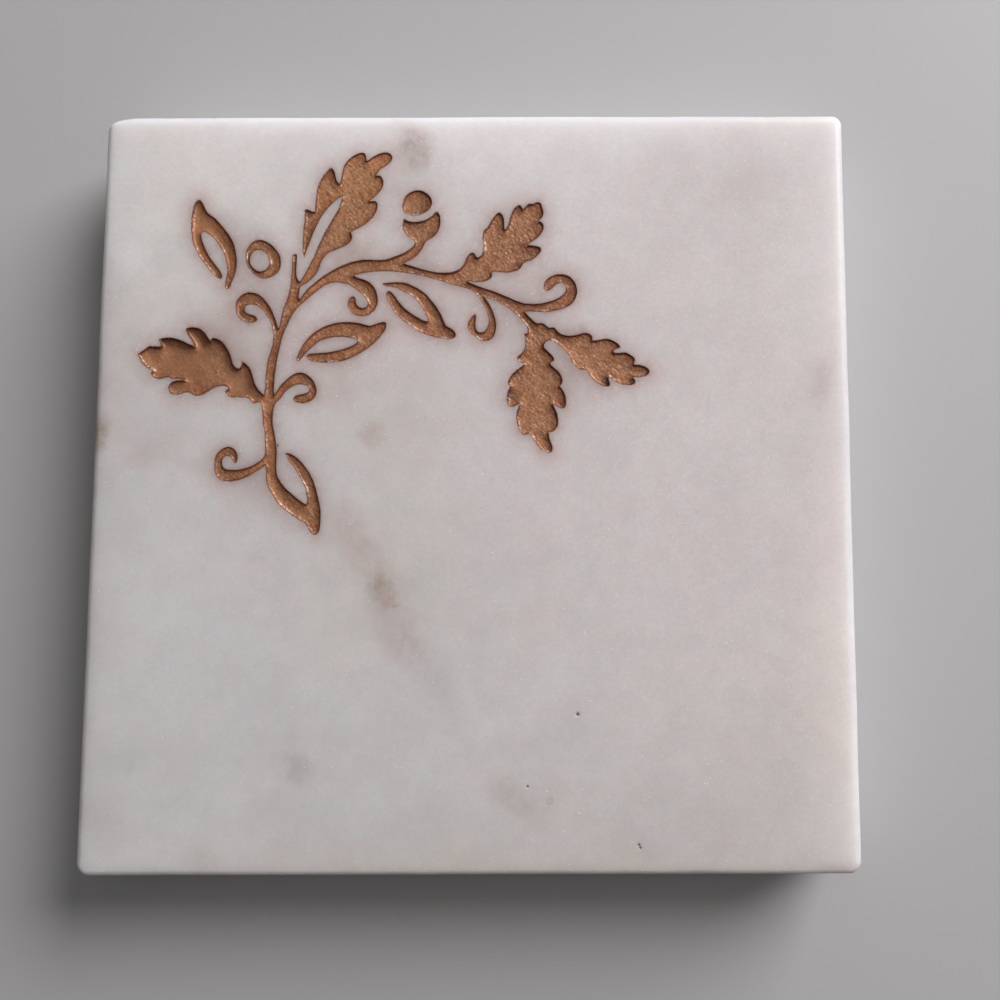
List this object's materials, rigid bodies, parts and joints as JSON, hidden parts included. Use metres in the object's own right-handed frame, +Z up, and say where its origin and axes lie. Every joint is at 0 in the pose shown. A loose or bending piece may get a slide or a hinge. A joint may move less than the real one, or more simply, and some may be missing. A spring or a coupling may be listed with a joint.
{
  "type": "drink coaster",
  "caption": "Square honed marble drink coaster with eased edges, a sunk and gilded oak spray in its top face, and soft round pads underneath.",
  "frame": {"origin": "middle of the footprint, on the surface that the pads stand on", "axes": "+Z up through the slab, +Y towards the top of the ornament as it is read from above, +X towards its right"},
  "size_m": [0.1, 0.1, 0.012],
  "materials": {
    "marble": "honed, white-grey with soft brown clouds and fine crystal glints",
    "gilding": "copper-gold metallic paint, satin, pebbly",
    "pad": "soft, matt, milky",
    "adhesive": "thin acrylic film"
  },
  "bodies": {
    "root": {"marble_slab": "marble", "spray_gilding": "gilding", "open_leaf_left_gilding": "gilding", "berry_ring_gilding": "gilding", "acorn_nut_gilding": "gilding", "open_leaf_lower_gilding": "gilding", "open_leaf_upper_gilding": "gilding", "pad_front_left": "pad", "pad_front_right": "pad", "pad_back_left": "pad", "pad_back_right": "pad", "adhesive_front_left": "adhesive", "adhesive_front_right": "adhesive", "adhesive_back_left": "adhesive", "adhesive_back_right": "adhesive"}
  },
  "joints": []
}
